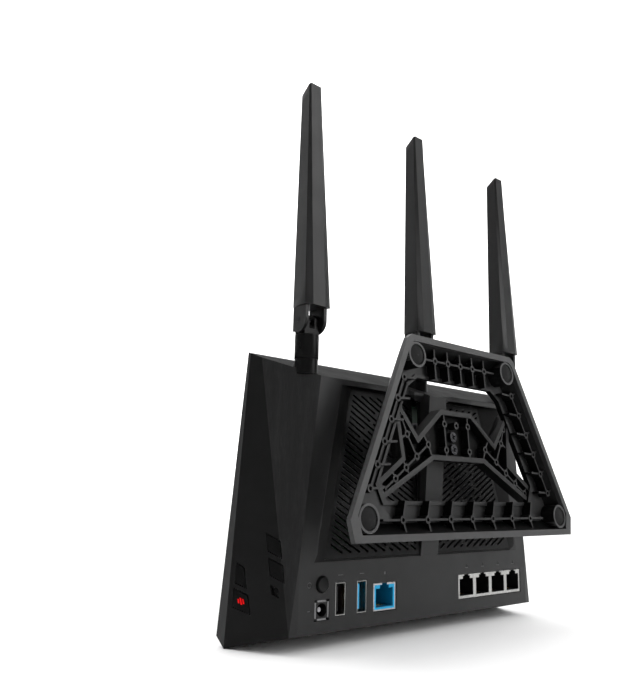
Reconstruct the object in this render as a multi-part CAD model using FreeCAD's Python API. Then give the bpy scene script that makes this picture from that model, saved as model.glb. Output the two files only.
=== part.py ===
import FreeCAD, Part
import math
import os

V = FreeCAD.Vector

# ---------------------------------------------------------------- sizes, mm
# Working frame: X to the router's left-hand end seen from behind, Y to the
# back, Z up.  Y = 0 is the port face, Z = 0 its lower edge, X = 0 the middle.
WALL = 2.0

# outer housing, a wedge with faceted ends
TOP_HALF = 100.9
BOTTOM_HALF = 106.0
FRONT_TOP_Y = -28.6
FRONT_BOTTOM_Y = -37.0
FRONT_BOTTOM_Z = -3.0
TOE_Y = -31.0
TOE_Z = -7.7
SEAM_TOP_Y = -26.8
SEAM_TOP_Z = 125.8
TOP_BACK_Z = 115.0
PORT_HALF = 90.0
PORT_TOP_Z = 30.5
SHOULDER_HALF = 79.5
HEEL_X = 94.6
HEEL_Y = -0.6
CREST_X = 98.7
CREST_Y = -20.8

# recessed grilles either side of the spine
GRILLE_DEPTH_TOP = 6.5
GRILLE_DEPTH_LOW = 0.4
GRILLE_BOTTOM_Z = 31.5
GRILLE_TOP_Z = 111.5
GRILLE_OUT_BOTTOM = 74.5
GRILLE_OUT_TOP = 53.5
COVE_OUT_BOTTOM = 81.0
COVE_OUT_TOP = 66.0
SPINE_HALF = 7.0
GRILLE_THICK = 1.6
GRILLE_GAP = 0.15
SLOT_ANGLE = 28.0
SLOT_PITCH = 2.76
SLOT_WIDTH = 1.15
SLOT_BRIDGE = 2.2

# spine
SPINE_KNEE_Z = 55.0
SPINE_KNEE_Y = 3.1
SPINE_TOP_Y = 6.6
HOOD_HALF = 17.0
HOOD_Y = 2.8

# stand plate, held 4.64 degrees off the port face
PLATE_TILT = 4.64
PLATE_FOOT_Y = 35.2
PLATE_TOP_W = 44.4
PLATE_TOP_H = 138.2
PLATE_BOTTOM_W = 95.0
PLATE_BOTTOM_H = 41.0
RIM_WALL = 3.2
RIM_DEPTH = 2.6
FRAME_DEPTH = 10.5
FRAME_FLOOR = 1.9
RAIL_TOP_IN_H = 119.0
RAIL_BOTTOM_IN_H = 59.0
RAIL_SIDE = 16.2
RAIL_LIP = -7.6
TRUSS_FACE = -8.6
TRUSS_DEPTH = 6.2
TRUSS_FLOOR = 1.6
BAND = 2.5
HUB_TOP_W = 13.0
HUB_TOP_H = 104.9
HUB_LOW_W = 21.0
HUB_LOW_H = 79.2
NOTCH = (32.1, 90.1)
CROTCH = (45.2, 79.4)
PAD_R = 5.1
PAD_TOP_W = 38.5
PAD_TOP_H = 128.5
PAD_LOW_W = 78.3
PAD_LOW_H = 51.1
RIB = 1.0
BOSS_R = 1.9
BOSS_HOLE_R = 0.9

# neck between spine and plate
NECK_HALF = 9.5
NECK_LOW_H = 82.5
NECK_HIGH_H = 101.0

# sockets on the port face
JACK_BACK_Y = -0.35
BOARD_Y = -18.6
BOARD_THICK = 1.6
WAN_X = 34.0
WAN_Z = 12.6
WAN_W = 16.1
WAN_H = 12.7
LAN_X = -54.7
LAN_Z = 13.1
LAN_W = 59.6
LAN_H = 12.4
LAN_COUNT = 4
PLUG_W = 11.9
PLUG_H = 8.4
USB_Z = 13.8
USB2_X = 64.2
USB3_X = 50.1
USB_W = 6.3
USB_H = 14.3
DC_X = 75.9
DC_Z = 9.9
DC_SIZE = 8.6
POWER_X = 76.0
POWER_Z = 20.9
POWER_R = 3.4

# antennas
ANTENNA_X = 82.0
ANTENNA_Y = -8.0
COLLAR_R = 5.85
COLLAR_LOW_Z = 123.2
COLLAR_TOP_Z = 135.0
PIVOT_Z = 142.0
TONGUE_HALF = 4.6
TONGUE_R = 3.4
TONGUE_SLOT = 1.7
SPIGOT_R = 3.0
SPIGOT_BORE_R = 3.05
BARREL_R = 2.6
BUSH_LOW_Z = 115.9
HINGE_PIN_R = 1.25
HINGE_BORE_R = 1.3
WEB_ABOVE_PIVOT = 6.4
PADDLE_LOW_Z = 136.4
PADDLE_TIP_Z = 266.0
PADDLE_TIP_FRONT_Z = 261.5

# side keys, on the long end facet
KEY_STAND = 0.1
KEY_DEPTH = 3.0
RESET_R = 1.5


# ---------------------------------------------------------------- helpers
def halfspace(points, inside, shift=0.0):
    """Big block on the far side of the plane through three points."""
    a, b, c = [V(*p) for p in points]
    n = (b - a).cross(c - a)
    n.normalize()
    if (V(*inside) - a).dot(n) > 0:
        n = n * -1.0
    size = 900.0
    block = Part.makeBox(size, size, size, V(-size / 2, -size / 2, 0))
    turn = FreeCAD.Rotation(V(0, 0, 1), n)
    block.Placement = FreeCAD.Placement(a - n * shift, turn)
    return block


def box(x0, x1, y0, y1, z0, z1):
    return Part.makeBox(x1 - x0, y1 - y0, z1 - z0, V(x0, y0, z0))


def rod(radius, p, q):
    a = V(*p)
    d = V(*q) - a
    return Part.makeCylinder(radius, d.Length, a, d)


def prism(points, direction):
    wire = Part.makePolygon([V(*p) for p in points] + [V(*points[0])])
    return Part.Face(wire).extrude(V(*direction))


def mirror_x(shape):
    return shape.mirror(V(0, 0, 0), V(1, 0, 0))


def fuse_all(shapes):
    out = shapes[0]
    if len(shapes) > 1:
        out = out.multiFuse(shapes[1:])
    return out


def cut_all(shape, tools):
    return shape.cut(Part.makeCompound(tools)) if tools else shape


def seam_y(z):
    """Back edge of the front cover at height z."""
    t = (z - TOE_Z) / (SEAM_TOP_Z - TOE_Z)
    return TOE_Y + t * (SEAM_TOP_Y - TOE_Y)


def top_z(y):
    """Height of the sloping top face."""
    slope = (SEAM_TOP_Z - TOP_BACK_Z) / -SEAM_TOP_Y
    return TOP_BACK_Z - slope * y


# ---------------------------------------------------------------- housing
INSIDE = (0, -15, 60)


def side_planes(s):
    toe = (s * BOTTOM_HALF, TOE_Y, TOE_Z)
    seam_top = (s * TOP_HALF, SEAM_TOP_Y, SEAM_TOP_Z)
    heel = (s * HEEL_X, HEEL_Y, HEEL_Y * TOE_Z / TOE_Y)
    crest = (s * CREST_X, CREST_Y, top_z(CREST_Y))
    shoulder = (s * SHOULDER_HALF, 0, TOP_BACK_Z)
    edge = (s * BOTTOM_HALF, FRONT_BOTTOM_Y, FRONT_BOTTOM_Z)
    strip = (edge, toe, seam_top)
    end = (toe, seam_top, heel)
    brushed = (crest, heel, shoulder)
    sliver = (heel, (s * PORT_HALF, 0, 0), (s * PORT_HALF, 0, PORT_TOP_Z))
    return [strip, end, brushed, sliver]


def hull(inset):
    """Closed outer form, every face moved in by the inset."""
    low_front = (0, FRONT_BOTTOM_Y, FRONT_BOTTOM_Z)
    planes = [
        ((0, FRONT_TOP_Y, 126.5), (9, FRONT_TOP_Y, 126.5), low_front),
        (low_front, (9, FRONT_BOTTOM_Y, FRONT_BOTTOM_Z), (0, TOE_Y, TOE_Z)),
        ((0, TOE_Y, TOE_Z), (9, TOE_Y, TOE_Z), (0, 0, 0)),
        ((0, 0, TOP_BACK_Z), (9, 0, TOP_BACK_Z), (0, SEAM_TOP_Y, SEAM_TOP_Z)),
        ((0, 0, 0), (9, 0, 0), (0, 0, 9)),
    ]
    planes += side_planes(1) + side_planes(-1)
    solid = box(-130, 130, -60, 20, -30, 150)
    for plane in planes:
        solid = solid.cut(halfspace(plane, INSIDE, inset))
    return solid


def behind_seam(gap):
    """Everything behind the joint line between the two covers."""
    a = (0, seam_y(-40) + gap, -40)
    b = (0, seam_y(160) + gap, 160)
    pts = [(-150, a[1], a[2]), (-150, b[1], b[2]), (-150, 60, 160), (-150, 60, -40)]
    return prism(pts, (300, 0, 0))


def recess_y(z):
    """Depth line of the grille plane below the port face plane."""
    t = (z - PORT_TOP_Z) / (TOP_BACK_Z - PORT_TOP_Z)
    return -GRILLE_DEPTH_LOW - (GRILLE_DEPTH_TOP - GRILLE_DEPTH_LOW) * t


def grille_outline(grow, z0, z1):
    """Corners of the +X grille, seen from behind, as (x, z)."""
    def out_x(z):
        t = (z - GRILLE_BOTTOM_Z) / (GRILLE_TOP_Z - GRILLE_BOTTOM_Z)
        return GRILLE_OUT_BOTTOM + t * (GRILLE_OUT_TOP - GRILLE_OUT_BOTTOM) + grow
    return [(SPINE_HALF - grow, z0), (out_x(z0), z0), (out_x(z1), z1), (SPINE_HALF - grow, z1)]


def recess_tool():
    """Volume taken out of the back for the +X grille and its cove."""
    z0 = PORT_TOP_Z
    z1 = TOP_BACK_Z - 2.6
    lower = []
    upper = []
    for z, keep in ((z0, lower), (z1, upper)):
        t = (z - GRILLE_BOTTOM_Z) / (GRILLE_TOP_Z - GRILLE_BOTTOM_Z)
        out_g = GRILLE_OUT_BOTTOM + t * (GRILLE_OUT_TOP - GRILLE_OUT_BOTTOM)
        out_c = COVE_OUT_BOTTOM + t * (COVE_OUT_TOP - COVE_OUT_BOTTOM)
        deep = recess_y(z)
        keep.append(V(SPINE_HALF, 0.4, z))
        keep.append(V(SPINE_HALF, deep, z))
        keep.append(V(out_g, deep, z))
        keep.append(V(out_c, 0.0, z))
        keep.append(V(out_c, 0.4, z))
    wires = [Part.makePolygon(w + [w[0]]) for w in (lower, upper)]
    return Part.makeLoft(wires, True, True)


def inner_recess_block():
    """Wall stock that backs the recess from inside the housing."""
    tool = recess_tool()
    tool.translate(V(0, -WALL, 0))
    return tool.common(box(SPINE_HALF - 2, 95, -30, -0.2, PORT_TOP_Z, TOP_BACK_Z - 2.6))


def grille_seat(grow):
    """Slanted slab that the grille panel drops into."""
    z0 = GRILLE_BOTTOM_Z - grow
    z1 = GRILLE_TOP_Z + grow
    face = []
    for x, z in grille_outline(grow, z0, z1):
        face.append((x, recess_y(z), z))
    slab = prism(face, (0, -GRILLE_THICK, 0))
    return slab


def grille_window():
    """Opening right through the wall, inside the seat's ledge."""
    ledge = 1.8
    z0 = GRILLE_BOTTOM_Z + ledge
    z1 = GRILLE_TOP_Z - ledge
    face = [(x, 2.0, z) for x, z in grille_outline(-ledge, z0, z1)]
    return prism(face, (0, -26, 0))


def slot(length, width, depth):
    """Flat-sided slot with round ends along X, cut through in Y."""
    r = width / 2
    half = length / 2 - r
    top = Part.LineSegment(V(-half, 0, r), V(half, 0, r)).toShape()
    right = Part.Arc(V(half, 0, r), V(half + r, 0, 0), V(half, 0, -r)).toShape()
    low = Part.LineSegment(V(half, 0, -r), V(-half, 0, -r)).toShape()
    left = Part.Arc(V(-half, 0, -r), V(-half - r, 0, 0), V(-half, 0, r)).toShape()
    face = Part.Face(Part.Wire([top, right, low, left]))
    return face.extrude(V(0, depth, 0))


def clip_line(point, step, outline):
    """Stretch of a slanted line that lies inside a convex outline."""
    lo, hi = -400.0, 400.0
    n = len(outline)
    for i in range(n):
        ax, az = outline[i]
        bx, bz = outline[(i + 1) % n]
        nx, nz = -(bz - az), bx - ax
        den = nx * step[0] + nz * step[1]
        num = nx * (ax - point[0]) + nz * (az - point[1])
        if abs(den) < 1e-9:
            if num > 0:
                return None
            continue
        t = num / den
        if den > 0:
            lo = max(lo, t)
        else:
            hi = min(hi, t)
    return (lo, hi) if hi - lo > 3.0 else None


def slot_tools():
    """Dashes of the +X grille: rows slope down towards the spine."""
    edge = 2.3
    outline = grille_outline(-edge, GRILLE_BOTTOM_Z + edge, GRILLE_TOP_Z - edge)
    ang = math.radians(SLOT_ANGLE)
    step = (-math.cos(ang), -math.sin(ang))
    tools = []
    row = 0
    z = GRILLE_BOTTOM_Z - 4.0
    while z < GRILLE_TOP_Z + 45.0:
        span = clip_line((GRILLE_OUT_BOTTOM, z), step, outline)
        if span:
            tools += dashes(span, row, (GRILLE_OUT_BOTTOM, z), step)
        z += SLOT_PITCH / math.cos(ang)
        row += 1
    return tools


def dashes(span, row, point, step):
    """Split one row into dashes of uneven length."""
    out = []
    start, end = span
    k = 0
    while end - start > 2.5:
        want = 9.0 + 13.0 * abs(math.sin(1.7 * row + 2.3 * k))
        stop = min(end, start + want)
        if end - stop < 5.0:
            stop = end
        mid = (start + stop) / 2
        piece = slot(stop - start, SLOT_WIDTH, 8.0)
        piece.rotate(V(0, 0, 0), V(0, 1, 0), -SLOT_ANGLE)
        x = point[0] + step[0] * mid
        z = point[1] + step[1] * mid
        piece.translate(V(x, recess_y(z) - 4.0, z))
        out.append(piece)
        start = stop + SLOT_BRIDGE
        k += 1
    return out


def quad(front_half, back_half, y0, y1, z):
    """Four corners of a level section, wider or narrower at the back."""
    return [V(-front_half, y0, z), V(front_half, y0, z), V(back_half, y1, z), V(-back_half, y1, z)]


def spine():
    """Central rib that carries the stand, with its hood at the top."""
    side = [
        (-SPINE_HALF, -WALL, PORT_TOP_Z),
        (-SPINE_HALF, 0, PORT_TOP_Z),
        (-SPINE_HALF, SPINE_KNEE_Y, SPINE_KNEE_Z),
        (-SPINE_HALF, SPINE_TOP_Y, top_z(SPINE_TOP_Y)),
        (-SPINE_HALF, -WALL, top_z(-WALL)),
    ]
    rib = prism(side, (2 * SPINE_HALF, 0, 0))
    z1 = top_z(SPINE_TOP_Y)
    low = quad(HOOD_HALF - 3, HOOD_HALF - 5, -3, 0.5, 109.5)
    high = quad(HOOD_HALF, HOOD_HALF - 2, -3, HOOD_Y, z1)
    crown = [p + V(0, 0, 8) for p in high]
    under = Part.makeLoft([Part.makePolygon(w + [w[0]]) for w in (low, high)], True, True)
    over = Part.makeLoft([Part.makePolygon(w + [w[0]]) for w in (high, crown)], True, True)
    hood = under.fuse(over)
    roof = ((0, 0, TOP_BACK_Z), (9, 0, TOP_BACK_Z), (0, SEAM_TOP_Y, SEAM_TOP_Z))
    return rib.fuse(hood).cut(halfspace(roof, INSIDE, 0.0))


def port_tools():
    """Openings in the port face, with 0.25 mm round each socket."""
    g = 0.25
    tools = []
    for x, z, w, h in (
        (WAN_X, WAN_Z, WAN_W, WAN_H),
        (LAN_X, LAN_Z, LAN_W, LAN_H),
        (USB2_X, USB_Z, USB_W, USB_H),
        (USB3_X, USB_Z, USB_W, USB_H),
        (DC_X, DC_Z, DC_SIZE, DC_SIZE),
    ):
        tools.append(box(x - w / 2 - g, x + w / 2 + g, -6, 3, z - h / 2 - g, z + h / 2 + g))
    tools.append(rod(POWER_R + 0.4, (POWER_X, -6, POWER_Z), (POWER_X, 3, POWER_Z)))
    return tools


def icon_tools():
    """Plain engraved marks above the sockets: dots and bars only."""
    tools = []
    for i in range(LAN_COUNT):
        x = LAN_X + (i - 1.5) * LAN_W / LAN_COUNT
        tools.append(box(x - 1.6, x + 1.6, -0.25, 1, 22.6, 23.0))
        tools.append(box(x - 0.2, x + 0.2, -0.25, 1, 23.0, 24.6))
    tools.append(rod(0.8, (WAN_X, -0.25, 23.6), (WAN_X, 1, 23.6)))
    for x in (USB2_X, USB3_X):
        tools.append(box(x - 1.8, x + 1.8, -0.25, 1, 24.0, 24.5))
    tools.append(box(82.6, 84.6, -0.25, 1, 9.7, 10.1))
    ring = rod(1.3, (83.6, -0.25, 20.9), (83.6, 1, 20.9))
    tools.append(ring.cut(rod(0.9, (83.6, -1, 20.9), (83.6, 2, 20.9))))
    return tools


# ---------------------------------------------------------------- end facet
def end_frame():
    """Origin and axes on the +X end facet: u to the back, v up, n out."""
    toe = V(BOTTOM_HALF, TOE_Y, TOE_Z)
    seam_top = V(TOP_HALF, SEAM_TOP_Y, SEAM_TOP_Z)
    heel = V(HEEL_X, HEEL_Y, HEEL_Y * TOE_Z / TOE_Y)
    n = (seam_top - toe).cross(heel - toe)
    n.normalize()
    if n.x < 0:
        n = n * -1.0
    u = V(0, 0, 1).cross(n)
    u.normalize()
    v = n.cross(u)
    y, z = -16.0, 25.0
    x = toe.x - (n.y * (y - toe.y) + n.z * (z - toe.z)) / n.x
    return V(x, y, z), u, v, n


END_O, END_U, END_V, END_N = end_frame()


def on_end(u, v, n):
    return END_O + END_U * u + END_V * v + END_N * n


def end_prism(corners, n0, n1, grow=0.0):
    """Prism on the end facet from depth n0 to n1, grown all round."""
    cu = sum(c[0] for c in corners) / len(corners)
    cv = sum(c[1] for c in corners) / len(corners)
    pts = []
    for u, v in corners:
        du, dv = u - cu, v - cv
        size = math.hypot(du, dv)
        k = 1 + grow * 1.41 / size
        pts.append(on_end(cu + du * k, cv + dv * k, n0))
    wire = Part.makePolygon(pts + [pts[0]])
    return Part.Face(wire).extrude(END_N * (n1 - n0))


def skewed(u, v, wide_low, wide_high, tall, lean, drop):
    """Slanted four-sided key: lean shifts the foot, drop lowers the back."""
    return [
        (u - wide_high / 2, v + tall / 2 + drop / 2),
        (u + wide_high / 2, v + tall / 2 - drop / 2),
        (u + wide_low / 2 + lean, v - tall / 2 - drop / 2),
        (u - wide_low / 2 + lean, v - tall / 2 + drop / 2),
    ]


KEYS = {
    "key_upper_rear": skewed(6.2, 12.6, 6.8, 6.9, 7.3, 1.5, 2.8),
    "key_lower_rear": skewed(8.0, 2.3, 6.9, 7.0, 7.2, 1.4, 2.7),
    "key_upper_front": skewed(-10.0, -1.0, 6.0, 4.0, 8.4, 0.8, 1.8),
    "key_lower_front": skewed(-9.0, -12.0, 9.2, 7.2, 7.8, 0.8, 2.4),
}
RESET_UV = (8.0, -6.6)
RESET_WELL = skewed(RESET_UV[0], RESET_UV[1], 3.8, 4.6, 3.9, 0.7, 1.5)


def key_solid(name):
    """Push key with a stem and a retaining flange behind the wall."""
    corners = KEYS[name]
    cap = end_prism(corners, -KEY_DEPTH, KEY_STAND)
    flange = end_prism(corners, -WALL - 1.1, -WALL - 0.3, 0.9)
    flange = flange.common(hull(WALL + 0.3))
    cu = sum(c[0] for c in corners) / 4
    cv = sum(c[1] for c in corners) / 4
    a = on_end(cu, cv, -WALL - 1.0)
    b = on_end(cu, cv, -WALL - 3.2)
    stem = Part.makeCylinder(1.2, (b - a).Length, a, b - a)
    return fuse_all([cap, flange, stem])


def reset_solid():
    a = on_end(RESET_UV[0], RESET_UV[1], -1.5)
    d = END_N * -1.0
    pin = Part.makeCylinder(1.15, 5.3, a, d)
    flange = Part.makeCylinder(1.9, 0.7, a + d * 0.8, d)
    return pin.fuse(flange)


def key_tools():
    """Openings in the end wall for the keys and the reset pin."""
    tools = []
    for corners in KEYS.values():
        tools.append(end_prism(corners, -WALL - 2, 2, 0.3))
    tools.append(end_prism(RESET_WELL, -1.2, 2))
    a = on_end(RESET_UV[0], RESET_UV[1], 2)
    tools.append(Part.makeCylinder(RESET_R, WALL + 4, a, END_N * -1.0))
    return tools


def key_bed():
    """Small board and four dome switches behind the keys."""
    board = [(-12.6, 15.5), (11.5, 15.5), (11.5, -15.5), (-12.6, -15.5)]
    plate = end_prism(board, -WALL - 7.6, -WALL - 6.4)
    switches = []
    for corners in list(KEYS.values()):
        cu = sum(c[0] for c in corners) / 4
        cv = sum(c[1] for c in corners) / 4
        pts = [(cu - 2.2, cv - 2.2), (cu + 2.2, cv - 2.2), (cu + 2.2, cv + 2.2), (cu - 2.2, cv + 2.2)]
        switches.append(end_prism(pts, -WALL - 6.4, -WALL - 4.4))
    a = on_end(RESET_UV[0], RESET_UV[1], -WALL - 6.4)
    switches.append(Part.makeCylinder(1.6, 0.9, a, END_N))
    return plate, switches


# ---------------------------------------------------------------- covers
def rear_cover(outer, inner):
    shell = outer.common(behind_seam(0.0))
    hollow = inner.common(behind_seam(-0.5))
    tools = recess_tool()
    both = [tools, mirror_x(tools)]
    stock = inner_recess_block()
    hollow = cut_all(hollow, [stock, mirror_x(stock)])
    shell = shell.cut(hollow)
    shell = shell.fuse(spine())
    shell = cut_all(shell, both)
    seat = grille_seat(GRILLE_GAP)
    window = grille_window()
    shell = cut_all(shell, [seat, mirror_x(seat), window, mirror_x(window)])
    shell = cut_all(shell, port_tools() + icon_tools() + key_tools())
    holes = []
    for x in (-ANTENNA_X, 0, ANTENNA_X):
        holes.append(rod(BARREL_R, (x, ANTENNA_Y, 104), (x, ANTENNA_Y, 140)))
    shell = cut_all(shell, holes)
    for h in neck_screw_heights():
        p = plate_point(0, h, -30)
        q = plate_point(0, h, 10)
        shell = shell.cut(rod(1.25, (p.x, p.y, p.z), (q.x, q.y, q.z)))
    return shell


def front_cover(outer, inner):
    shell = outer.cut(behind_seam(-0.1))
    shell = shell.cut(inner)
    groove = []
    for s in (1, -1):
        for z0, x0, x1 in ((20, 20, 92), (96, 30, 78)):
            a = front_point(s * x0, z0)
            b = front_point(s * x1, z0 + 14)
            groove.append(rod(0.8, a, b))
    shell = cut_all(shell, groove)
    leds = []
    for i in range(8):
        x = (i - 3.5) * 6.0
        p = front_point(x, 8.0)
        leds.append(box(x - 1.35, x + 1.35, p[1] - 4, p[1] + 5, 7.35, 8.65))
    return cut_all(shell, leds)


def front_point(x, z):
    y = FRONT_BOTTOM_Y + (z - FRONT_BOTTOM_Z) * (FRONT_TOP_Y - FRONT_BOTTOM_Y) / 129.5
    return (x, y, z)


def light_pipes():
    """Eight indicator light guides behind the front face."""
    out = []
    for i in range(8):
        x = (i - 3.5) * 6.0
        p = front_point(x, 8.0)
        out.append(box(x - 1.15, x + 1.15, p[1] + 0.15, p[1] + 8.0, 7.45, 8.55))
    bar = box(-24, 24, p[1] + 8.0, p[1] + 9.2, 6.4, 9.6)
    return [fuse_all(out + [bar])]


# ---------------------------------------------------------------- stand
AL = math.radians(PLATE_TILT)
PLATE_M = V(0, -math.sin(AL), math.cos(AL))
PLATE_N = V(0, math.cos(AL), math.sin(AL))


def plate_point(x, h, n):
    """Point of the stand plate: across, up the plate, out of its back."""
    return V(x, PLATE_FOOT_Y, 0) + PLATE_M * h + PLATE_N * n


def place_plate(shape):
    """Move a shape drawn as X across, Y up, Z out onto the plate."""
    m = FreeCAD.Matrix()
    m.A11, m.A21, m.A31 = -1, 0, 0
    m.A12, m.A22, m.A32 = PLATE_M.x, PLATE_M.y, PLATE_M.z
    m.A13, m.A23, m.A33 = PLATE_N.x, PLATE_N.y, PLATE_N.z
    m.A14, m.A24, m.A34 = 0, PLATE_FOOT_Y, 0
    shape = shape.copy()
    shape.transformShape(m)
    return shape


def flat(points, n0, n1):
    """Prism over a plate outline between two depths."""
    wire = Part.makePolygon([V(x, h, n0) for x, h in points] + [V(points[0][0], points[0][1], n0)])
    return Part.Face(wire).extrude(V(0, 0, n1 - n0))


def plate_outline(inset, chamfer):
    """Trapezoid with cut corners, moved in by the inset."""
    slope = (PLATE_BOTTOM_W - PLATE_TOP_W) / (PLATE_TOP_H - PLATE_BOTTOM_H)
    run = math.hypot(1, slope)

    def half(h):
        return PLATE_TOP_W + (PLATE_TOP_H - h) * slope - inset * run
    low = PLATE_BOTTOM_H + inset
    high = PLATE_TOP_H - inset
    c = chamfer
    right = [
        (half(low) - 0.8 * c, low),
        (half(low + 1.05 * c), low + 1.05 * c),
        (half(high - 2.2), high - 2.2),
        (half(high) - 2.0, high),
    ]
    left = [(-x, h) for x, h in reversed(right)]
    return right + left


def loft_plate(outline_a, na, outline_b, nb):
    wires = []
    for outline, n in ((outline_a, na), (outline_b, nb)):
        pts = [V(x, h, n) for x, h in outline]
        wires.append(Part.makePolygon(pts + [pts[0]]))
    return Part.makeLoft(wires, True, True)


def rail_opening(grow):
    """The one big opening inside the four rails."""
    slope = (PLATE_BOTTOM_W - PLATE_TOP_W) / (PLATE_TOP_H - PLATE_BOTTOM_H)
    run = math.hypot(1, slope)

    def half(h):
        return PLATE_TOP_W + (PLATE_TOP_H - h) * slope - RAIL_SIDE * run + grow
    h0 = RAIL_BOTTOM_IN_H - grow
    h1 = RAIL_TOP_IN_H + grow
    right = [(half(h0) - 9, h0), (half(h0 + 9), h0 + 9), (half(h1 - 5), h1 - 5), (half(h1) - 5, h1)]
    left = [(-x, h) for x, h in reversed(right)]
    return right + left


def leg(p, q, width):
    """Centre line of one truss leg as a four-cornered strip."""
    dx, dh = q[0] - p[0], q[1] - p[1]
    size = math.hypot(dx, dh)
    ox, oh = -dh / size * width / 2, dx / size * width / 2
    return [(p[0] + ox, p[1] + oh), (q[0] + ox, q[1] + oh), (q[0] - ox, q[1] - oh), (p[0] - ox, p[1] - oh)]


def truss_outline():
    """Edge of hub and four legs: each leg runs in under a rail."""
    right = [
        (HUB_TOP_W, HUB_TOP_H),
        NOTCH,
        (46.5, 107.4),
        (52.0, 104.0),
        (47.6, 98.6),
        CROTCH,
        (61.3, 69.0),
        (76.0, 59.6),
        (72.0, 53.4),
        (HUB_LOW_W, HUB_LOW_H),
    ]
    return right + [(-x, h) for x, h in reversed(right)]


def truss_slab(inset):
    """Slab over the truss outline, its edge moved in by the inset."""
    n0 = TRUSS_FACE - TRUSS_DEPTH
    pts = [V(x, h, n0) for x, h in truss_outline()]
    face = Part.Face(Part.makePolygon(pts + [pts[0]]))
    if inset:
        face = face.makeOffset2D(-inset, 2)
    return face.extrude(V(0, 0, TRUSS_DEPTH))


LOW_CHAIN = [(24.1, 86.5), (33.5, 80.3), (41.9, 74.7), (50.0, 69.3), (58.5, 64.0)]
HIGH_CHAIN = [(33.5, 80.3), (39.7, 90.7), (43.1, 98.7)]


def boss_spots():
    """Small round bosses inside hub and legs."""
    spots = [(9.9, 97.8), (-9.9, 97.8), (0, 97.6), (9.8, 84.6), (-9.8, 84.6)]
    for s in (1, -1):
        spots += [(s * x, h) for x, h in LOW_CHAIN + HIGH_CHAIN[1:]]
    return spots


def rib_line(p, q, n0, n1, thick=RIB):
    return flat(leg(p, q, thick), n0, n1)


def truss_ribs():
    """Web of thin ribs that joins the bosses."""
    n0 = TRUSS_FACE - TRUSS_DEPTH
    n1 = TRUSS_FACE - 0.5
    lines = []
    for chain in (LOW_CHAIN, HIGH_CHAIN):
        lines += list(zip(chain[:-1], chain[1:]))
    for x, h in LOW_CHAIN[2:]:
        lines.append(((x + 3.6, h + 6.0), (x - 3.6, h - 6.0)))
    for x, h in HIGH_CHAIN[1:]:
        lines.append(((x - 5.4, h + 2.6), (x + 5.4, h - 2.6)))
    lines.append((HIGH_CHAIN[2], (45.8, 106.0)))
    lines.append((LOW_CHAIN[0], (HUB_LOW_W, HUB_LOW_H)))
    lines.append((LOW_CHAIN[0], (28.0, 92.5)))
    lines.append(((9.9, 104.0), (9.8, 80.0)))
    out = []
    for s in (1, -1):
        for p, q in lines:
            out.append(rib_line((s * p[0], p[1]), (s * q[0], q[1]), n0, n1))
    return out


TOP_MID = (PLATE_TOP_H + RAIL_TOP_IN_H) / 2 - 0.6
LOW_MID = (PLATE_BOTTOM_H + RAIL_BOTTOM_IN_H) / 2 + 0.4


def side_spot(i):
    """Boss i of the +X side rail."""
    slope = (PLATE_BOTTOM_W - PLATE_TOP_W) / (PLATE_TOP_H - PLATE_BOTTOM_H)
    h = 64.0 + i * 10.6
    return PLATE_TOP_W + (PLATE_TOP_H - h) * slope - 9.6, h


def rail_boss_spots():
    """Small round bosses along the middle of the four rails."""
    spots = [((i - 2) * 10.6, TOP_MID) for i in range(5)]
    spots += [((i - 3) * 17.6, LOW_MID) for i in range(7)]
    for s in (1, -1):
        spots += [(s * side_spot(i)[0], side_spot(i)[1]) for i in range(6)]
    return spots


def frame_ribs():
    """Cross ribs, a mid rib and bosses in the four rails."""
    n0 = -FRAME_DEPTH + 0.6
    n1 = -3.6
    out = [flat_disc(x, h, BOSS_R, n0, n1 + 0.2) for x, h in rail_boss_spots()]
    out.append(rib_line((-31, TOP_MID), (31, TOP_MID), n0, n1))
    out.append(rib_line((-66, LOW_MID), (66, LOW_MID), n0, n1))
    for i in range(5):
        x = (i - 2) * 10.6
        out.append(rib_line((x, PLATE_TOP_H - 1), (x, RAIL_TOP_IN_H - 1), n0, n1))
    for i in range(7):
        x = (i - 3) * 17.6
        out.append(rib_line((x + 3.0, PLATE_BOTTOM_H + 1), (x, LOW_MID), n0, n1))
        out.append(rib_line((x, LOW_MID), (x + 3.0, RAIL_BOTTOM_IN_H + 1), n0, n1))
    for s in (1, -1):
        for i in range(6):
            x, h = side_spot(i)
            out.append(rib_line((s * (x + 10), h + 5.0), (s * x, h), n0, n1))
            out.append(rib_line((s * x, h), (s * (x - 9), h + 0.5), n0, n1))
            if i:
                before = side_spot(i - 1)
                out.append(rib_line((s * before[0], before[1]), (s * x, h), n0, n1))
    return out


def flat_disc(x, h, r, n0, n1):
    return Part.makeCylinder(r, n1 - n0, V(x, h, n0), V(0, 0, 1))


def pad_spots():
    return [(s * w, h) for w, h in ((PAD_TOP_W, PAD_TOP_H), (PAD_LOW_W, PAD_LOW_H)) for s in (1, -1)]


def stand_frame():
    """Outer frame with tall rim, ribbed channel rails and pad cups."""
    rim = plate_outline(0.0, 9.0)
    slim = plate_outline(6.5, 7.0)
    body = flat(rim, -RIM_DEPTH, 0.0)
    skin = loft_plate(rim, -RIM_DEPTH, slim, -FRAME_DEPTH)
    body = body.fuse(skin)
    opening = flat(rail_opening(0.0), -FRAME_DEPTH - 2, 2)
    body = body.cut(opening)
    tray_top = plate_outline(RIM_WALL, 8.0)
    tray_low = plate_outline(6.5 + 1.6, 6.4)
    tray = loft_plate(tray_top, -RIM_DEPTH, tray_low, -FRAME_DEPTH + FRAME_FLOOR)
    tray = tray.fuse(flat(tray_top, -RIM_DEPTH, 1.0))
    lip = flat(rail_opening(1.8), -FRAME_DEPTH, RAIL_LIP)
    tray = tray.cut(lip)
    return body, tray


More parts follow.
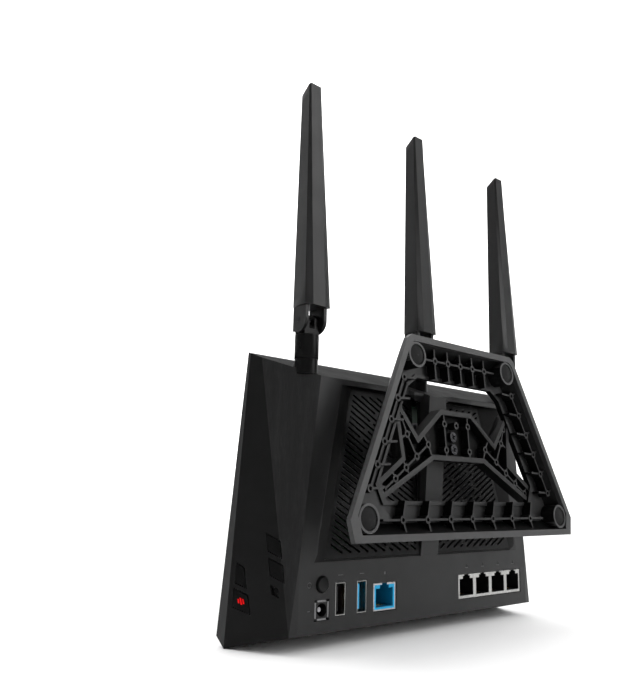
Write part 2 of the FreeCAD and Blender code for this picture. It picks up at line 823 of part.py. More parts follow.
def stand_solid():
    body, tray = stand_frame()
    cups = []
    wells = []
    for x, h in pad_spots():
        cups.append(flat_disc(x, h, PAD_R + 1.3, -FRAME_DEPTH + 0.5, -0.35))
        wells.append(flat_disc(x, h, PAD_R + 0.15, -5.0, 1.0))
    ribs = [r.common(body) for r in frame_ribs()]
    cups = [c.common(body) for c in cups]
    frame = body.cut(tray)
    frame = fuse_all([frame] + ribs + cups)
    slab = truss_slab(0.0)
    pocket = truss_slab(BAND)
    pocket.translate(V(0, 0, TRUSS_FLOOR))
    ribs2 = Part.makeCompound(truss_ribs()).common(slab)
    bosses = []
    bores = [flat_disc(x, h, BOSS_HOLE_R, -7.5, 1.0) for x, h in rail_boss_spots()]
    for x, h in boss_spots():
        bosses.append(flat_disc(x, h, BOSS_R, TRUSS_FACE - TRUSS_DEPTH, TRUSS_FACE - 0.4))
        bores.append(flat_disc(x, h, BOSS_HOLE_R, TRUSS_FACE - TRUSS_DEPTH + TRUSS_FLOOR, TRUSS_FACE + 1))
    truss = slab.cut(pocket).fuse(ribs2.Solids + bosses)
    truss = truss.common(flat(plate_outline(9.0, 6.0), -30, 2))
    whole = frame.fuse(truss)
    whole = cut_all(whole, wells + bores)
    for h in neck_screw_heights():
        whole = whole.cut(flat_disc(0, h, 1.7, -30, 3))
    return place_plate(whole.removeSplitter())


def pads():
    out = []
    for x, h in pad_spots():
        disc = flat_disc(x, h, PAD_R, -5.0, -1.0)
        ball_r = (PAD_R ** 2 + 1.0) / 2.0
        ball = Part.makeSphere(ball_r, V(x, h, -ball_r))
        dome = ball.common(flat_disc(x, h, PAD_R, -1.0, 0.5))
        out.append(place_plate(disc.fuse(dome)))
    return out


def neck_screw_heights():
    return (85.6, 92.0)


def neck_solid():
    """Bracket between the spine and the hub's floor."""
    n_hub = TRUSS_FACE - TRUSS_DEPTH
    side = [
        (NECK_LOW_H, -26.0),
        (NECK_LOW_H + 1.5, n_hub),
        (NECK_HIGH_H - 1.0, n_hub),
        (NECK_HIGH_H + 1.5, -26.0),
    ]
    wire = [V(-NECK_HALF, h, n) for h, n in side]
    block = Part.Face(Part.makePolygon(wire + [wire[0]])).extrude(V(2 * NECK_HALF, 0, 0))
    block = place_plate(block)
    keep = spine_clear()
    block = block.cut(keep)
    for h in neck_screw_heights():
        p = plate_point(0, h, -30)
        q = plate_point(0, h, 10)
        block = block.cut(rod(1.6, (p.x, p.y, p.z), (q.x, q.y, q.z)))
    return block


def spine_clear():
    """Space in front of the neck taken by the spine and the hood."""
    pts = [
        (-40, -40, 20),
        (-40, 0, PORT_TOP_Z),
        (-40, SPINE_KNEE_Y, SPINE_KNEE_Z),
        (-40, SPINE_TOP_Y, top_z(SPINE_TOP_Y)),
        (-40, SPINE_TOP_Y, 150),
        (-40, -40, 150),
    ]
    return prism(pts, (80, 0, 0))


def neck_screws():
    """Two screws from the hub floor through the neck into the spine."""
    out = []
    for h in neck_screw_heights():
        tip = plate_point(0, h, -26.5)
        seat = plate_point(0, h, TRUSS_FACE - TRUSS_DEPTH + TRUSS_FLOOR)
        head_end = seat + PLATE_N * 1.8
        shaft = Part.makeCylinder(1.25, (seat - tip).Length, tip, PLATE_N)
        head = Part.makeCylinder(2.7, 1.8, seat, PLATE_N)
        onto_head = FreeCAD.Placement(head_end, FreeCAD.Rotation(V(0, 0, 1), PLATE_N))
        cross = []
        for turn in (20, 110):
            bar = Part.makeBox(3.0, 0.7, 1.4, V(-1.5, -0.35, -1.1))
            bar.rotate(V(0, 0, 0), V(0, 0, 1), turn)
            bar.Placement = onto_head.multiply(bar.Placement)
            cross.append(bar)
        out.append(shaft.fuse(head).cut(Part.makeCompound(cross)))
    return out


# ---------------------------------------------------------------- sockets
def plug_tools(x, z, w, count, y0, y1, grow):
    """Plug openings with the two steps of the latch, side by side."""
    out = []
    low = z - PLUG_H / 2 - 0.4
    top = low + PLUG_H
    for i in range(count):
        cx = x + (i - (count - 1) / 2) * w / count
        for half, z0, z1 in ((PLUG_W / 2, low, top), (3.1, top, top + 1.5), (1.7, top + 1.5, top + 2.4)):
            out.append(box(cx - half - grow, cx + half + grow, y0, y1, z0 - grow, z1 + grow))
    return out


def jack_shell(x, z, w, h, count):
    """Plated can with a front plate, round one or more network sockets."""
    y0 = BOARD_Y + BOARD_THICK
    y1 = JACK_BACK_Y
    t = 0.4
    can = box(x - w / 2, x + w / 2, y0, y1, z - h / 2, z + h / 2)
    can = can.cut(box(x - w / 2 + t, x + w / 2 - t, y0 - 1, y1 - 0.25, z - h / 2 + t, z + h / 2 - t))
    return cut_all(can, plug_tools(x, z, w, count, y1 - 2, y1 + 1, 0.15))


def jack_insert(x, z, w, h, count):
    """Moulded block with plug openings, open at the latch side."""
    y0 = BOARD_Y + BOARD_THICK
    y1 = JACK_BACK_Y - 0.3
    t = 0.45
    block = box(x - w / 2 + t, x + w / 2 - t, y0, y1, z - h / 2 + t, z + h / 2 - t)
    return cut_all(block, plug_tools(x, z, w, count, y0 + 3.2, y1 + 1, 0.0))


def jack_contacts(x, z, w, count):
    """Eight flat contact wires on the floor of each network socket."""
    y0 = BOARD_Y + BOARD_THICK + 3.4
    y1 = JACK_BACK_Y - 4.5
    out = []
    for i in range(count):
        cx = x + (i - (count - 1) / 2) * w / count
        low = z - PLUG_H / 2 - 0.4
        for k in range(8):
            px = cx + (k - 3.5) * 1.02
            out.append(box(px - 0.17, px + 0.17, y0, y1, low, low + 0.12))
    return out


def usb_shell(x):
    y0 = BOARD_Y + BOARD_THICK
    y1 = JACK_BACK_Y + 0.2
    t = 0.35
    outer = box(x - USB_W / 2, x + USB_W / 2, y0, y1, USB_Z - USB_H / 2, USB_Z + USB_H / 2)
    half = USB_W / 2 - t
    tall = USB_H / 2 - t
    inner = box(x - half, x + half, y0 + t, y1 + 1, USB_Z - tall, USB_Z + tall)
    return outer.cut(inner)


def usb_tongue(x):
    y0 = BOARD_Y + BOARD_THICK + 0.6
    y1 = JACK_BACK_Y - 1.2
    base = box(x - USB_W / 2 + 0.4, x + USB_W / 2 - 0.4, y0, y0 + 3.0, USB_Z - 6.7, USB_Z + 6.7)
    blade = box(x + 0.3, x + 2.1, y0, y1, USB_Z - 5.6, USB_Z + 5.6)
    return base.fuse(blade)


def usb_contacts(x):
    y0 = BOARD_Y + BOARD_THICK + 3.7
    y1 = JACK_BACK_Y - 1.8
    out = []
    for k in range(4):
        cz = USB_Z + (k - 1.5) * 2.3
        out.append(box(x + 0.1, x + 0.28, y0, y1, cz - 0.5, cz + 0.5))
    return out


def dc_body():
    """Square power inlet with clipped corners and a round well."""
    y0 = BOARD_Y + BOARD_THICK
    y1 = JACK_BACK_Y + 0.2
    s = DC_SIZE / 2
    c = 1.6
    pts = [
        (s - c, -s), (s - c, -s + 0.9), (s, -s + 0.9), (s, s - 0.9), (s - c, s - 0.9), (s - c, s),
        (-s + c, s), (-s + c, s - 0.9), (-s, s - 0.9), (-s, -s + 0.9), (-s + c, -s + 0.9), (-s + c, -s),
    ]
    ring = [(DC_X + u, y0, DC_Z + v) for u, v in pts]
    body = prism(ring, (0, y1 - y0, 0))
    body = body.cut(rod(2.95, (DC_X, y0 + 4.5, DC_Z), (DC_X, y1 + 1, DC_Z)))
    return body


def dc_pin():
    y0 = BOARD_Y + BOARD_THICK + 4.8
    return rod(1.05, (DC_X, y0, DC_Z), (DC_X, JACK_BACK_Y - 1.5, DC_Z))


def power_button():
    """Round push button with a shallow dish and a retaining flange."""
    y_face = 1.3
    cap = rod(POWER_R, (POWER_X, -3.1, POWER_Z), (POWER_X, y_face, POWER_Z))
    cap = cap.makeChamfer(0.4, [e for e in cap.Edges if abs(e.BoundBox.YMin - y_face) < 1e-6])
    dish = Part.makeSphere(14.0, V(POWER_X, y_face + 13.6, POWER_Z))
    flange = rod(POWER_R + 1.2, (POWER_X, -3.1, POWER_Z), (POWER_X, -2.3, POWER_Z))
    stem = rod(1.6, (POWER_X, -7.0, POWER_Z), (POWER_X, -3.0, POWER_Z))
    return fuse_all([cap.cut(dish), flange, stem])


def power_switch():
    y0 = BOARD_Y + BOARD_THICK
    can = box(POWER_X - 3.5, POWER_X + 3.5, y0, -9.0, POWER_Z - 3.0, POWER_Z + 3.0)
    return can


# ---------------------------------------------------------------- inside
def main_board():
    board = box(-84, 84, BOARD_Y, BOARD_Y + BOARD_THICK, 2.0, 110.0)
    holes = []
    for x, z in board_posts():
        holes.append(rod(1.6, (x, BOARD_Y - 2, z), (x, BOARD_Y + 4, z)))
    corner = [box(s * 76 - 9, s * 76 + 9, BOARD_Y - 1, BOARD_Y + 4, 100, 112) for s in (1, -1)]
    return cut_all(board, holes + corner)


def board_posts():
    return [(79, 36), (-79, 36), (58, 106), (-58, 106), (10, 14), (-10, 14)]


def board_screws():
    out = []
    face = BOARD_Y + BOARD_THICK
    for x, z in board_posts():
        shaft = rod(1.3, (x, BOARD_Y - 5.0, z), (x, face, z))
        head = rod(2.6, (x, face, z), (x, face + 1.6, z))
        slot_cut = box(x - 1.6, x + 1.6, face + 0.9, face + 2, z - 0.3, z + 0.3)
        out.append(shaft.fuse(head).cut(slot_cut))
    return out


def board_stand():
    """Posts on the front cover that carry the board."""
    out = []
    for x, z in board_posts():
        y = front_point(x, z)[1] + WALL - 0.6
        post = rod(3.0, (x, y, z), (x, BOARD_Y, z))
        out.append(post.cut(rod(1.35, (x, BOARD_Y - 5.2, z), (x, BOARD_Y + 1, z))))
    return out


def heat_sink():
    """Finned aluminium plate over the processor."""
    y0 = BOARD_Y + BOARD_THICK + 1.4
    base = box(-38, 26, y0, y0 + 1.6, 44, 100)
    fins = []
    for i in range(16):
        x = -37 + i * 4.1
        fins.append(box(x, x + 1.1, y0 + 1.5, y0 + 5.0, 45, 99))
    return fuse_all([base] + fins)


def shield_cans():
    y0 = BOARD_Y + BOARD_THICK
    spots = ((-68, -46, 48, 74), (34, 60, 50, 78), (-64, -42, 80, 98), (36, 56, 84, 98))
    return [box(x0, x1, y0, y0 + 2.6, z0, z1) for x0, x1, z0, z1 in spots]


def chips():
    y0 = BOARD_Y + BOARD_THICK
    out = [box(-20, 6, y0, y0 + 1.4, 58, 84)]
    out += [box(-2 + 16 * i, 10 + 16 * i, y0, y0 + 1.1, 30, 40) for i in range(3)]
    out += [box(-70 + 16 * i, -58 + 16 * i, y0, y0 + 3.4, 26, 37) for i in range(4)]
    for i in range(4):
        out.append(rod(2.5, (62 + 0, y0, 30 + 5.6 * i), (62, y0 + 6.0, 30 + 5.6 * i)))
    return out


# ---------------------------------------------------------------- antennas
def connector(x, outer):
    """Fixed threaded bush: seat ring on the sloping top, spigot above."""
    ring = rod(COLLAR_R - 0.25, (x, ANTENNA_Y, BUSH_LOW_Z), (x, ANTENNA_Y, COLLAR_LOW_Z - 0.15))
    ring = ring.cut(outer)
    barrel = rod(BARREL_R, (x, ANTENNA_Y, 108), (x, ANTENNA_Y, COLLAR_LOW_Z - 0.15))
    spigot = rod(SPIGOT_R, (x, ANTENNA_Y, COLLAR_LOW_Z - 1), (x, ANTENNA_Y, COLLAR_TOP_Z - 3.5))
    return fuse_all([ring, barrel, spigot])


def collar(x):
    """Turning collar with the flat tongue that the paddle hinges on."""
    drum = rod(COLLAR_R, (x, ANTENNA_Y, COLLAR_LOW_Z), (x, ANTENNA_Y, COLLAR_TOP_Z))
    rim = [e for e in drum.Edges if abs(e.BoundBox.ZMin - COLLAR_TOP_Z) < 1e-6]
    drum = drum.makeFillet(0.5, rim)
    neck = box(x - TONGUE_HALF, x + TONGUE_HALF, ANTENNA_Y - 3.4, ANTENNA_Y + 3.4, COLLAR_TOP_Z - 1, PIVOT_Z)
    head = rod(TONGUE_R, (x - TONGUE_HALF, ANTENNA_Y, PIVOT_Z), (x + TONGUE_HALF, ANTENNA_Y, PIVOT_Z))
    body = fuse_all([drum, neck, head])
    y0, y1 = ANTENNA_Y - 5, ANTENNA_Y + 5
    gap = box(x - TONGUE_SLOT, x + TONGUE_SLOT, y0, y1, COLLAR_TOP_Z + 3.0, PIVOT_Z + 6)
    body = body.cut(gap)
    body = body.cut(rod(SPIGOT_BORE_R, (x, ANTENNA_Y, COLLAR_LOW_Z - 1), (x, ANTENNA_Y, COLLAR_TOP_Z - 3.2)))
    return body.cut(rod(HINGE_BORE_R, (x - 9, ANTENNA_Y, PIVOT_Z), (x + 9, ANTENNA_Y, PIVOT_Z)))


def paddle_section(x, z, t):
    """Six-sided section, t = 0 at the hinge end, 1 at the tip."""
    low = [(5.5, -4.5), (8.1, 7.2), (4.0, 8.4)]
    high = [(3.0, -5.4), (4.1, 1.2), (3.4, 2.0)]
    right = []
    for a, b in zip(low, high):
        px = a[0] + (b[0] - a[0]) * t
        py = a[1] + (b[1] - a[1]) * t
        right.append((px, py))
    ring = right + [(-px, py) for px, py in reversed(right)]
    return [V(x + px, ANTENNA_Y + py, z) for px, py in ring]


def paddle_blank(x):
    low_z = PIVOT_Z + WEB_ABOVE_PIVOT
    low = paddle_section(x, low_z, 0.0)
    high = paddle_section(x, PADDLE_TIP_Z, 1.0)
    loft = Part.makeLoft([Part.makePolygon(w + [w[0]]) for w in (low, high)], True, True)
    slope = (PADDLE_TIP_Z - PADDLE_TIP_FRONT_Z) / 7.4
    a = (x, ANTENNA_Y + 2.0, PADDLE_TIP_Z)
    b = (x + 5, ANTENNA_Y + 2.0, PADDLE_TIP_Z)
    c = (x, ANTENNA_Y - 8.0, PADDLE_TIP_Z - 10.0 * slope)
    return loft.cut(halfspace((a, b, c), (x, ANTENNA_Y, 200)))


def cheek(x, s):
    """One hinge cheek: square to the front, round to the back."""
    y, z = ANTENNA_Y, PIVOT_Z
    x0 = x + s * (TONGUE_HALF + 0.3)
    x1 = x + s * 6.9
    half = rod(6.4, (x0, y, z), (x1, y, z))
    up = WEB_ABOVE_PIVOT + 0.2
    lo_x, hi_x = min(x0, x1), max(x0, x1)
    back = box(lo_x, hi_x, y - 4.2, y + 6.4, z, z + up)
    front = box(lo_x, hi_x, y - 4.2, y, PADDLE_LOW_Z, z + 0.1)
    trim = box(lo_x - 1, hi_x + 1, y - 20, y - 4.2, z - 20, z + 20)
    solid = fuse_all([half, back, front]).cut(trim)
    wedge = [(5.45, -4.5), (6.9, 6.9), (12, 6.9), (12, -4.5)]
    lean = prism([(x + s * u, y + w, 130) for u, w in wedge], (0, 0, 30))
    return solid.cut(lean)


def paddle(x):
    """Hollow paddle with two cheeks and a solid web above the hinge."""
    blank = paddle_blank(x)
    cheeks = [cheek(x, s) for s in (1, -1)]
    low = paddle_section(x, PIVOT_Z + WEB_ABOVE_PIVOT + 6.0, 0.05)
    high = paddle_section(x, PADDLE_TIP_Z - 8.0, 0.96)
    core = Part.makeLoft([inset_wire(w, x, 1.5) for w in (low, high)], True, True)
    body = fuse_all([blank] + cheeks)
    body = body.cut(core)
    return body.cut(rod(HINGE_PIN_R + 0.001, (x - 12, ANTENNA_Y, PIVOT_Z), (x + 12, ANTENNA_Y, PIVOT_Z)))


def inset_wire(points, x, wall):
    cy = sum(p.y for p in points) / len(points)
    out = []
    for p in points:
        dx, dy = p.x - x, p.y - cy
        px = p.x - math.copysign(min(wall, abs(dx)), dx)
        py = p.y - math.copysign(min(wall, abs(dy)), dy)
        out.append(V(px, py, p.z))
    return Part.makePolygon(out + [out[0]])


def hinge_pin(x):
    return rod(HINGE_PIN_R, (x - 6.3, ANTENNA_Y, PIVOT_Z), (x + 6.3, ANTENNA_Y, PIVOT_Z))


def radiator(x):
    """Sleeve dipole on a thin strip inside the paddle."""
    strip = box(x - 1.7, x + 1.7, ANTENNA_Y - 2.4, ANTENNA_Y - 1.6, 160, 246)
    sleeve = rod(1.3, (x, ANTENNA_Y - 1.0 + 0.5, 162), (x, ANTENNA_Y - 0.5, 190))
    return fuse_all([strip, sleeve])


# ---------------------------------------------------------------- assembly
NODES = {}


def add(name, shapes):
    if not isinstance(shapes, (list, tuple)):
        shapes = [shapes]
    solids = []
    for s in shapes:
        solids += s.Solids
    NODES[name] = solids


def grille_panel(side):
    panel = grille_seat(0.0)
    panel = cut_all(panel, slot_tools())
    return panel if side > 0 else mirror_x(panel)


def build():
    outer = hull(0.0)
    inner = hull(WALL)
    add("rear_cover", rear_cover(outer, inner))
    cover = front_cover(outer, inner)
    add("front_cover", fuse_all([cover] + board_stand()))
    add("indicator_lights", light_pipes())
    add("grille_left", grille_panel(1))
    add("grille_right", grille_panel(-1))
    add("stand_plate", stand_solid())
    add("stand_pads", pads())
    add("stand_neck", neck_solid())
    add("neck_screws", neck_screws())
    add("lan_can", jack_shell(LAN_X, LAN_Z, LAN_W, LAN_H, LAN_COUNT))
    add("lan_insert", jack_insert(LAN_X, LAN_Z, LAN_W, LAN_H, LAN_COUNT))
    add("lan_contacts", jack_contacts(LAN_X, LAN_Z, LAN_W, LAN_COUNT))
    add("wan_can", jack_shell(WAN_X, WAN_Z, WAN_W, WAN_H, 1))
    add("wan_insert", jack_insert(WAN_X, WAN_Z, WAN_W, WAN_H, 1))
    add("wan_contacts", jack_contacts(WAN_X, WAN_Z, WAN_W, 1))
    add("usb_black_shell", usb_shell(USB2_X))
    add("usb_black_tongue", usb_tongue(USB2_X))
    add("usb_blue_shell", usb_shell(USB3_X))
    add("usb_blue_tongue", usb_tongue(USB3_X))
    add("usb_contacts", usb_contacts(USB2_X) + usb_contacts(USB3_X))
    add("dc_inlet", dc_body())
    add("dc_pin", dc_pin())
    add("power_button", power_button())
    add("power_switch", power_switch())
    for name in KEYS:
        add(name, key_solid(name))
    add("reset_pin", reset_solid())
    bed, switches = key_bed()
    add("key_board", bed)
    add("key_switches", switches)
    add("main_board", main_board())
    add("board_screws", board_screws())
    add("heat_sink", heat_sink())
    add("shield_cans", shield_cans())
    add("board_parts", chips())
    for tag, x in (("left", ANTENNA_X), ("middle", 0.0), ("right", -ANTENNA_X)):
        add("bush_" + tag, connector(x, outer))
        add("collar_" + tag, collar(x))
        add("hinge_pin_" + tag, hinge_pin(x))
        add("paddle_" + tag, paddle(x))
        add("radiator_" + tag, radiator(x))


def export():
    os.makedirs("parts", exist_ok=True)
    origin = plate_point(0, PLATE_BOTTOM_H + RIM_WALL / 2, 0)
    for name, solids in NODES.items():
        moved = []
        for s in solids:
            c = s.copy()
            c.translate(origin * -1.0)
            moved.append(c)
        shape = moved[0] if len(moved) == 1 else Part.makeCompound(moved)
        shape.exportStep("parts/" + name + ".step")
        box_ = shape.BoundBox
        ok = all(m.isValid() for m in moved)
        print(name, len(moved), "valid" if ok else "INVALID", round(shape.Volume, 1),
              [round(v, 2) for v in (box_.XMin, box_.XMax, box_.YMin, box_.YMax, box_.ZMin, box_.ZMax)])


build()
export()
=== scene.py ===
import math

import bmesh
import bpy
from mathutils import Matrix, Vector


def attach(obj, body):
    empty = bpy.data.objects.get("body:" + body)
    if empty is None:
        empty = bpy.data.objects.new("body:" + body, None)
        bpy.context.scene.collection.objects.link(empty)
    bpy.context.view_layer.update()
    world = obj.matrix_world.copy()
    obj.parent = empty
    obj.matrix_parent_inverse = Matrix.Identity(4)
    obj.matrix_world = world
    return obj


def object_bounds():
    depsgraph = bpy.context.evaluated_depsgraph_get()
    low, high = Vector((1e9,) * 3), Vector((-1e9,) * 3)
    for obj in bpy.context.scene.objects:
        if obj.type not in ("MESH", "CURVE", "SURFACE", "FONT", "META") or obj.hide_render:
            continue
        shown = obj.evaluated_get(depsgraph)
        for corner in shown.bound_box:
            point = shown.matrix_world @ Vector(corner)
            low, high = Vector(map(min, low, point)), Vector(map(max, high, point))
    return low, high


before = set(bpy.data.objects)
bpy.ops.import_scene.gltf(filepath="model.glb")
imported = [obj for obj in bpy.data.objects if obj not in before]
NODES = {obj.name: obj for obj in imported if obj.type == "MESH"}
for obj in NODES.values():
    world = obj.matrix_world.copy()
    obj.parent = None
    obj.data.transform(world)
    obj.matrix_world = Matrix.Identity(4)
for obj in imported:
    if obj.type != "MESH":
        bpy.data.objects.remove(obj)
cad_low, cad_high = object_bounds()
MM = 0.001

# The row frame sits on the stand plate's lower rim.  Sizes given in the
# housing's own frame (port face at y = 0, its lower edge at z = 0) are moved
# by this offset.
HOUSING_SHIFT = Vector((0.0, -31.7539, -42.4604)) * MM

# The stand plate leans by this much, and its faces are told apart by how far
# they lie behind the plane of its rim.
PLATE_TILT = math.radians(4.64)
RIM_DEPTH = 2.7 * MM
WEB_DEPTH = 9.5 * MM

# Where the rear cover's looks begin and end, in the housing's own millimetres:
# the hairline slopes and the end facets lie outside these X values, and the
# grille recess and the painted marks lie between these limits.
SLOPE_FROM_X = 79.0
END_FROM_X = 85.0
RECESS_X = (6.9, 81.5)
RECESS_Y = (-12.0, -0.2)
RECESS_Z = (30.5, 112.6)
MARK_Y = (-0.3, -0.2)
MARK_Z = (9.0, 25.0)

# Three corners of the long end facet that carries the keys.
END_TOE = (106.0, -31.0, -7.7)
END_TOP = (100.9, -26.8, 125.8)
END_HEEL = (94.6, -0.6, -0.149)

# Middles of the sockets whose fronts have two looks, and half the size of
# the plastic part of each front.
WAN_MIDDLE = (34.0, 0.0, 12.6)
WAN_PLASTIC = (7.2 * MM, 5.6 * MM)
INLET_MIDDLE = (75.9, 0.0, 9.9)
INLET_PLASTIC = (3.5 * MM, 3.5 * MM)

# Bars of the lamp inlay: how far each one is moved along the key, and its height.
LAMP_BARS = ((-1.25, 1.7), (0.0, 2.9), (1.25, 2.1))
LAMP_BAR_WIDTH = 0.85
LAMP_SLANT = 0.28
LAMP_SUNK = 0.25 * MM
LAMP_THICK = 0.33 * MM

# Sizes in metres of the bowl-shaped floor.
FLOOR_RADIUS = 2.2
FLOOR_BEND = 1.2
FLOOR_WALL = 2.0
FLOOR_STEPS = 96
BEND_STEPS = 12

# Sockets of Blender's Mix node in colour mode.
MIX_FIRST, MIX_SECOND, MIX_RESULT = 6, 7, 2


def housing(x, y, z):
    """A point given in millimetres from the middle of the port face's lower edge."""
    return Vector((x, y, z)) * MM + HOUSING_SHIFT


# ---------------------------------------------------------------- camera
CAMERA_AT = (0.317044, 0.222396, 0.019535)
CAMERA_FORWARD = Vector((-0.66823, -0.71711, 0.19804))
CAMERA_DOWN = Vector((-0.15194, -0.12904, -0.97993))
CAMERA_LENS = 39.68


def make_camera():
    """The photograph's view, from behind and a little below."""
    data = bpy.data.cameras.new("camera")
    data.lens = CAMERA_LENS
    data.sensor_width = 36.0
    data.sensor_fit = "AUTO"
    data.clip_start = 0.01
    data.clip_end = 60.0
    camera = bpy.data.objects.new("camera", data)
    bpy.context.scene.collection.objects.link(camera)
    back = -CAMERA_FORWARD.normalized()
    up = -CAMERA_DOWN
    right = up.cross(back).normalized()
    up = back.cross(right)
    turn = Matrix((right, up, back)).transposed()
    camera.matrix_world = Matrix.Translation(CAMERA_AT) @ turn.to_4x4()
    bpy.context.scene.camera = camera


# ---------------------------------------------------------------- material helpers
class Shader:
    """Small wrapper that keeps the node code short."""

    def __init__(self, name):
        self.material = bpy.data.materials.new(name)
        self.material.use_nodes = True
        self.tree = self.material.node_tree
        self.surface = self.tree.nodes["Principled BSDF"]
        self.place = self.tree.nodes.new("ShaderNodeTexCoord").outputs["Object"]

    def node(self, kind, **settings):
        node = self.tree.nodes.new(kind)
        for key, value in settings.items():
            setattr(node, key, value)
        return node

    def link(self, a, b):
        self.tree.links.new(a, b)

    def stretched(self, scale):
        """The object's own coordinates, scaled along each axis."""
        node = self.node("ShaderNodeMapping")
        node.inputs["Scale"].default_value = scale
        self.link(self.place, node.inputs["Vector"])
        return node.outputs["Vector"]

    def noise(self, scale, detail=3.0, rough=0.55, vector=None):
        node = self.node("ShaderNodeTexNoise")
        node.inputs["Scale"].default_value = scale
        node.inputs["Detail"].default_value = detail
        node.inputs["Roughness"].default_value = rough
        self.link(vector or self.place, node.inputs["Vector"])
        return node.outputs["Fac"]

    def cells(self, scale, vector=None):
        node = self.node("ShaderNodeTexVoronoi")
        node.inputs["Scale"].default_value = scale
        self.link(vector or self.place, node.inputs["Vector"])
        return node.outputs["Distance"]

    def ramp(self, value, stops):
        node = self.node("ShaderNodeValToRGB")
        elements = node.color_ramp.elements
        while len(elements) < len(stops):
            elements.new(0.5)
        for element, (at, colour) in zip(elements, stops):
            element.position = at
            element.color = (*colour, 1.0)
        self.link(value, node.inputs["Fac"])
        return node.outputs["Color"]

    def span(self, value, low, high):
        """Map a 0.3 to 0.7 texture value onto low to high."""
        node = self.node("ShaderNodeMapRange")
        node.inputs["From Min"].default_value = 0.3
        node.inputs["From Max"].default_value = 0.7
        node.inputs["To Min"].default_value = low
        node.inputs["To Max"].default_value = high
        self.link(value, node.inputs["Value"])
        return node.outputs["Result"]

    def math(self, operation, a, b):
        node = self.node("ShaderNodeMath", operation=operation)
        for socket, value in zip(node.inputs, (a, b)):
            if hasattr(value, "is_linked"):
                self.link(value, socket)
            else:
                socket.default_value = value
        return node.outputs["Value"]

    def bump(self, height, distance, strength=1.0):
        """Stack bumps: a second call sits on the first."""
        node = self.node("ShaderNodeBump")
        node.inputs["Distance"].default_value = distance
        node.inputs["Strength"].default_value = strength
        self.link(height, node.inputs["Height"])
        old = self.surface.inputs["Normal"]
        if old.is_linked:
            self.link(old.links[0].from_socket, node.inputs["Normal"])
        self.link(node.outputs["Normal"], old)

    def colour(self, socket):
        self.link(socket, self.surface.inputs["Base Color"])

    def roughness(self, socket):
        self.link(socket, self.surface.inputs["Roughness"])

    def set(self, **values):
        for key, value in values.items():
            self.surface.inputs[key.replace("_", " ")].default_value = value


def grey(level):
    return (level, level, level * 1.02)


def moulded(name, level, rough, grain=2600.0, depth=0.00003, specular=0.2):
    """Spark-textured moulded plastic with faint flow shading and handling wear."""
    s = Shader(name)
    broad = s.noise(22.0, 4.0)
    fine = s.noise(grain, 2.0, 0.6)
    s.colour(s.ramp(broad, [(0.3, grey(level * 0.82)), (0.7, grey(level * 1.2))]))
    smudge = s.span(s.noise(60.0, 5.0, 0.65), rough - 0.05, rough + 0.06)
    s.roughness(s.math("ADD", smudge, s.math("MULTIPLY", fine, 0.06)))
    s.bump(fine, depth, 0.6)
    s.bump(s.cells(grain * 0.45), depth * 0.6, 0.35)
    s.surface.inputs["Specular IOR Level"].default_value = specular
    return s.material


def brushed(name, level, rough, specular=0.2):
    """Plastic with fine upright hairlines."""
    s = Shader(name)
    lines = s.noise(1.0, 3.0, 0.7, s.stretched((2400.0, 2400.0, 18.0)))
    streaks = s.noise(1.0, 2.0, 0.5, s.stretched((420.0, 420.0, 5.0)))
    mixed = s.math("ADD", s.math("MULTIPLY", lines, 0.6), s.math("MULTIPLY", streaks, 0.4))
    s.colour(s.ramp(mixed, [(0.32, grey(level * 0.5)), (0.5, grey(level)), (0.72, grey(level * 2.3))]))
    s.roughness(s.span(mixed, rough - 0.08, rough + 0.12))
    s.bump(lines, 0.00006, 0.6)
    s.bump(streaks, 0.00008, 0.4)
    s.surface.inputs["Specular IOR Level"].default_value = specular
    return s.material


def metal(name, colour, rough):
    """Plated or drawn metal with fine directional marks."""
    s = Shader(name)
    marks = s.noise(1.0, 3.0, 0.6, s.stretched((900.0, 900.0, 60.0)))
    dull = tuple(c * 0.72 for c in colour)
    s.colour(s.ramp(s.noise(300.0, 4.0), [(0.3, dull), (0.7, colour)]))
    s.roughness(s.span(marks, rough - 0.07, rough + 0.1))
    s.bump(marks, 0.00001, 0.5)
    s.set(Metallic=1.0)
    return s.material


def framed(name, at, half, plated_edge):
    """Plastic inside a rectangle of the X-Z plane, with a lighter edge round it: plated metal, or else
    a painted highlight.
    """
    # Without plating, the light grey outer edge is a painted highlight.
    inner, outer = grey(0.0035), grey(0.16)
    if plated_edge:
        inner, outer = (0.0, 0.33, 0.62), grey(0.36)
    s = Shader(name)
    parts = s.node("ShaderNodeSeparateXYZ")
    s.link(s.place, parts.inputs["Vector"])
    inside = []
    for axis, middle, reach in (("X", at.x, half[0]), ("Z", at.z, half[1])):
        away = s.node("ShaderNodeMath", operation="ABSOLUTE")
        s.link(s.math("SUBTRACT", parts.outputs[axis], middle), away.inputs[0])
        inside.append(s.math("LESS_THAN", away.outputs["Value"], reach))
    mask = s.math("MULTIPLY", inside[0], inside[1])
    grain = s.noise(700.0, 4.0)
    looks = []
    for colour in (outer, inner):
        dark = tuple(c * 0.75 for c in colour)
        looks.append(s.ramp(grain, [(0.3, dark), (0.7, colour)]))
    mix = s.node("ShaderNodeMix", data_type="RGBA")
    s.link(mask, mix.inputs["Factor"])
    s.link(looks[0], mix.inputs[MIX_FIRST])
    s.link(looks[1], mix.inputs[MIX_SECOND])
    s.colour(mix.outputs[MIX_RESULT])
    s.roughness(s.span(grain, 0.26, 0.40))
    s.bump(grain, 0.00001, 0.5)
    if plated_edge:
        s.link(s.math("SUBTRACT", 1.0, mask), s.surface.inputs["Metallic"])
    s.surface.inputs["Specular IOR Level"].default_value = 0.2
    return s.material


